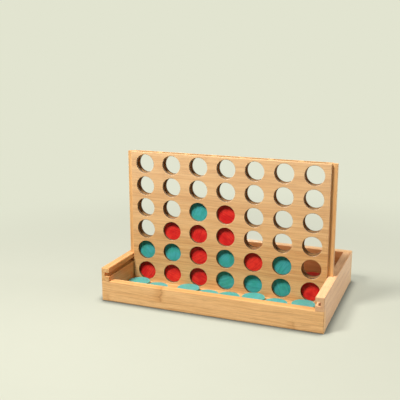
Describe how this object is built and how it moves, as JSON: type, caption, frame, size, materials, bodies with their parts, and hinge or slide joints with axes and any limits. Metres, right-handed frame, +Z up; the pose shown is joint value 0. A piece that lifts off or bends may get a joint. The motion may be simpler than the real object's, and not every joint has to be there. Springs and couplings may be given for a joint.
{
  "type": "four in a row frame",
  "caption": "Game frame: an upright perforated bamboo board standing in a shallow tray, with round discs stacked in its columns and loose in the tray.",
  "frame": {"origin": "on the ground under the middle of the tray", "axes": "+X to the right along the tray's long side, +Y to the back (the low front wall is at -Y), +Z up"},
  "size_m": [0.276, 0.1816, 0.1773],
  "materials": {
    "tray_bamboo": "clear satin lacquer on bamboo, long grain along each wall",
    "floor_bamboo": "clear satin lacquer on bamboo",
    "board_bamboo": "clear satin lacquer on bamboo, grain along the width",
    "core_bamboo": "clear satin lacquer on bamboo, grain along the height",
    "dowel_wood": "bare wood",
    "red_paint": "satin red stain on wood",
    "teal_paint": "satin teal stain on wood"
  },
  "bodies": {
    "tray": {"front_wall": "tray_bamboo", "back_wall": "tray_bamboo", "left_wall": "tray_bamboo", "right_wall": "tray_bamboo", "floor_panel": "floor_bamboo", "corner_dowels": "dowel_wood"},
    "board": {"front_panel": "board_bamboo", "back_panel": "board_bamboo", "left_rail": "core_bamboo", "right_rail": "core_bamboo", "column_divider_1": "core_bamboo", "column_divider_2": "core_bamboo", "column_divider_3": "core_bamboo", "column_divider_4": "core_bamboo", "column_divider_5": "core_bamboo", "column_divider_6": "core_bamboo"},
    "column_1_disc_1": {"column_1_disc_1_red": "red_paint"},
    "column_1_disc_2": {"column_1_disc_2_teal": "teal_paint"},
    "column_2_disc_1": {"column_2_disc_1_red": "red_paint"},
    "column_2_disc_2": {"column_2_disc_2_teal": "teal_paint"},
    "column_2_disc_3": {"column_2_disc_3_red": "red_paint"},
    "column_3_disc_1": {"column_3_disc_1_red": "red_paint"},
    "column_3_disc_2": {"column_3_disc_2_red": "red_paint"},
    "column_3_disc_3": {"column_3_disc_3_red": "red_paint"},
    "column_3_disc_4": {"column_3_disc_4_teal": "teal_paint"},
    "column_4_disc_1": {"column_4_disc_1_teal": "teal_paint"},
    "column_4_disc_2": {"column_4_disc_2_teal": "teal_paint"},
    "column_4_disc_3": {"column_4_disc_3_red": "red_paint"},
    "column_4_disc_4": {"column_4_disc_4_red": "red_paint"},
    "column_5_disc_1": {"column_5_disc_1_teal": "teal_paint"},
    "column_5_disc_2": {"column_5_disc_2_red": "red_paint"},
    "column_6_disc_1": {"column_6_disc_1_teal": "teal_paint"},
    "column_6_disc_2": {"column_6_disc_2_teal": "teal_paint"},
    "column_7_disc_1": {"column_7_disc_1_red": "red_paint"},
    "teal_supply": {"loose_teal_disc_01": "teal_paint", "loose_teal_disc_02": "teal_paint", "loose_teal_disc_03": "teal_paint", "loose_teal_disc_04": "teal_paint", "loose_teal_disc_05": "teal_paint", "loose_teal_disc_06": "teal_paint", "loose_teal_disc_07": "teal_paint", "loose_teal_disc_08": "teal_paint", "loose_teal_disc_09": "teal_paint", "loose_teal_disc_10": "teal_paint", "loose_teal_disc_11": "teal_paint", "loose_teal_disc_12": "teal_paint", "loose_teal_disc_13": "teal_paint"},
    "red_supply": {"loose_red_disc_01": "red_paint", "loose_red_disc_02": "red_paint", "loose_red_disc_03": "red_paint", "loose_red_disc_04": "red_paint", "loose_red_disc_05": "red_paint", "loose_red_disc_06": "red_paint", "loose_red_disc_07": "red_paint", "loose_red_disc_08": "red_paint", "loose_red_disc_09": "red_paint", "loose_red_disc_10": "red_paint", "loose_red_disc_11": "red_paint"}
  },
  "joints": [
    {"name": "board_lift", "type": "slide", "parent": "tray", "child": "board", "axis": [0, 0, 1], "range_m": [0, 0.175]},
    {"name": "column_1_disc_1_lift", "type": "slide", "parent": "tray", "child": "column_1_disc_1", "axis": [0, 0, 1], "range_m": [0, 0.175]},
    {"name": "column_1_disc_2_lift", "type": "slide", "parent": "tray", "child": "column_1_disc_2", "axis": [0, 0, 1], "range_m": [0, 0.175]},
    {"name": "column_2_disc_1_lift", "type": "slide", "parent": "tray", "child": "column_2_disc_1", "axis": [0, 0, 1], "range_m": [0, 0.175]},
    {"name": "column_2_disc_2_lift", "type": "slide", "parent": "tray", "child": "column_2_disc_2", "axis": [0, 0, 1], "range_m": [0, 0.175]},
    {"name": "column_2_disc_3_lift", "type": "slide", "parent": "tray", "child": "column_2_disc_3", "axis": [0, 0, 1], "range_m": [0, 0.175]},
    {"name": "column_3_disc_1_lift", "type": "slide", "parent": "tray", "child": "column_3_disc_1", "axis": [0, 0, 1], "range_m": [0, 0.175]},
    {"name": "column_3_disc_2_lift", "type": "slide", "parent": "tray", "child": "column_3_disc_2", "axis": [0, 0, 1], "range_m": [0, 0.175]},
    {"name": "column_3_disc_3_lift", "type": "slide", "parent": "tray", "child": "column_3_disc_3", "axis": [0, 0, 1], "range_m": [0, 0.175]},
    {"name": "column_3_disc_4_lift", "type": "slide", "parent": "tray", "child": "column_3_disc_4", "axis": [0, 0, 1], "range_m": [0, 0.175]},
    {"name": "column_4_disc_1_lift", "type": "slide", "parent": "tray", "child": "column_4_disc_1", "axis": [0, 0, 1], "range_m": [0, 0.175]},
    {"name": "column_4_disc_2_lift", "type": "slide", "parent": "tray", "child": "column_4_disc_2", "axis": [0, 0, 1], "range_m": [0, 0.175]},
    {"name": "column_4_disc_3_lift", "type": "slide", "parent": "tray", "child": "column_4_disc_3", "axis": [0, 0, 1], "range_m": [0, 0.175]},
    {"name": "column_4_disc_4_lift", "type": "slide", "parent": "tray", "child": "column_4_disc_4", "axis": [0, 0, 1], "range_m": [0, 0.175]},
    {"name": "column_5_disc_1_lift", "type": "slide", "parent": "tray", "child": "column_5_disc_1", "axis": [0, 0, 1], "range_m": [0, 0.175]},
    {"name": "column_5_disc_2_lift", "type": "slide", "parent": "tray", "child": "column_5_disc_2", "axis": [0, 0, 1], "range_m": [0, 0.175]},
    {"name": "column_6_disc_1_lift", "type": "slide", "parent": "tray", "child": "column_6_disc_1", "axis": [0, 0, 1], "range_m": [0, 0.175]},
    {"name": "column_6_disc_2_lift", "type": "slide", "parent": "tray", "child": "column_6_disc_2", "axis": [0, 0, 1], "range_m": [0, 0.175]},
    {"name": "column_7_disc_1_lift", "type": "slide", "parent": "tray", "child": "column_7_disc_1", "axis": [0, 0, 1], "range_m": [0, 0.175]},
    {"name": "teal_supply_lift", "type": "slide", "parent": "tray", "child": "teal_supply", "axis": [0, 0, 1], "range_m": [0, 0.05]},
    {"name": "red_supply_lift", "type": "slide", "parent": "tray", "child": "red_supply", "axis": [0, 0, 1], "range_m": [0, 0.05]}
  ],
  "couplings": [
    {"joint": "column_1_disc_2_lift", "follows": "column_1_disc_1_lift", "ratio": 1},
    {"joint": "column_2_disc_2_lift", "follows": "column_2_disc_1_lift", "ratio": 1},
    {"joint": "column_2_disc_3_lift", "follows": "column_2_disc_1_lift", "ratio": 1},
    {"joint": "column_3_disc_2_lift", "follows": "column_3_disc_1_lift", "ratio": 1},
    {"joint": "column_3_disc_3_lift", "follows": "column_3_disc_1_lift", "ratio": 1},
    {"joint": "column_3_disc_4_lift", "follows": "column_3_disc_1_lift", "ratio": 1},
    {"joint": "column_4_disc_2_lift", "follows": "column_4_disc_1_lift", "ratio": 1},
    {"joint": "column_4_disc_3_lift", "follows": "column_4_disc_1_lift", "ratio": 1},
    {"joint": "column_4_disc_4_lift", "follows": "column_4_disc_1_lift", "ratio": 1},
    {"joint": "column_5_disc_2_lift", "follows": "column_5_disc_1_lift", "ratio": 1},
    {"joint": "column_6_disc_2_lift", "follows": "column_6_disc_1_lift", "ratio": 1}
  ]
}
